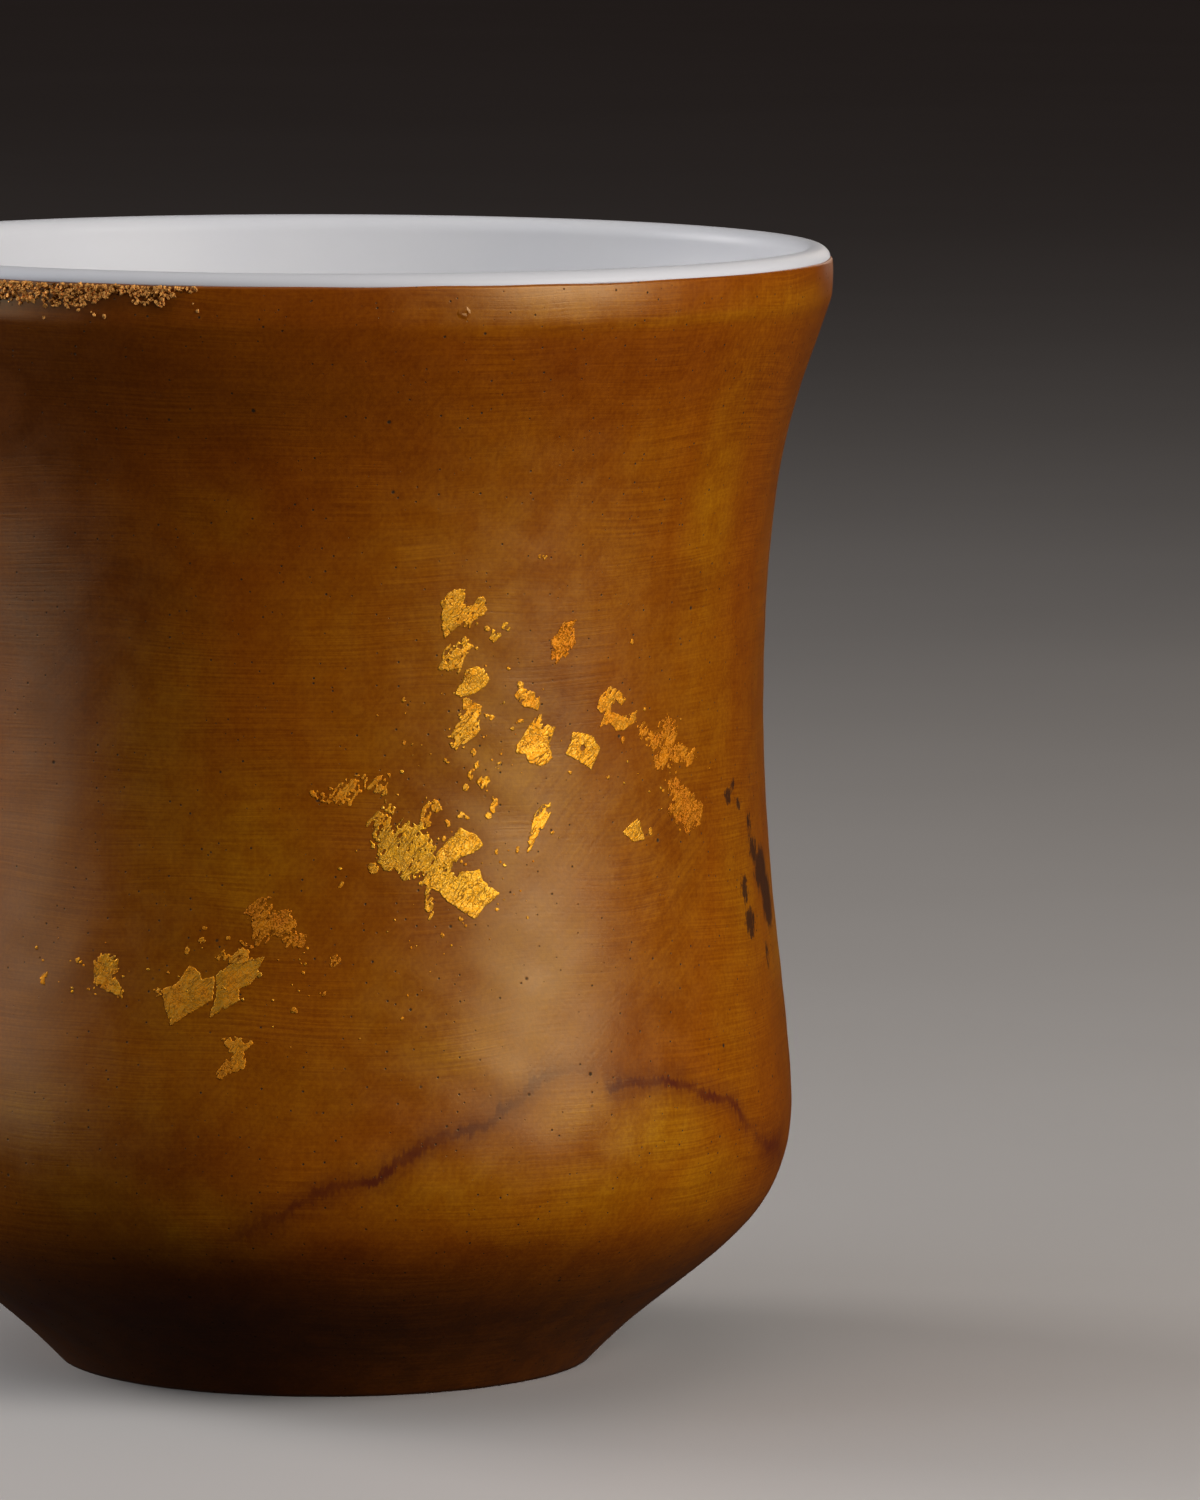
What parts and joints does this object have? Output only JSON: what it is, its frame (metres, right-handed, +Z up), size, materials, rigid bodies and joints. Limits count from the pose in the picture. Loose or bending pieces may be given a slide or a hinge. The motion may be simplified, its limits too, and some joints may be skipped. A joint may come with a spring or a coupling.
{
  "type": "coffee cup",
  "caption": "Handleless porcelain coffee cup with a waisted, flared wall, a round belly and a small foot ring, coated outside in amber lacquer up to a rounded white lip.",
  "frame": {"origin": "centre of the foot ring on the table", "axes": "+Z up along the cup's axis; the side shown in the picture faces -Y"},
  "size_m": [0.0814, 0.0814, 0.09],
  "materials": {
    "white_porcelain": "smooth clear glaze, faintly grey white",
    "amber_lacquer": "satin brushed lacquer, mottled amber to dark brown, with thin dark vein lines and fine pits",
    "gold_leaf": "torn gold leaf, softly wrinkled, satin"
  },
  "bodies": {
    "root": {"porcelain_cup": "white_porcelain", "lacquer_coat": "amber_lacquer"}
  },
  "joints": []
}
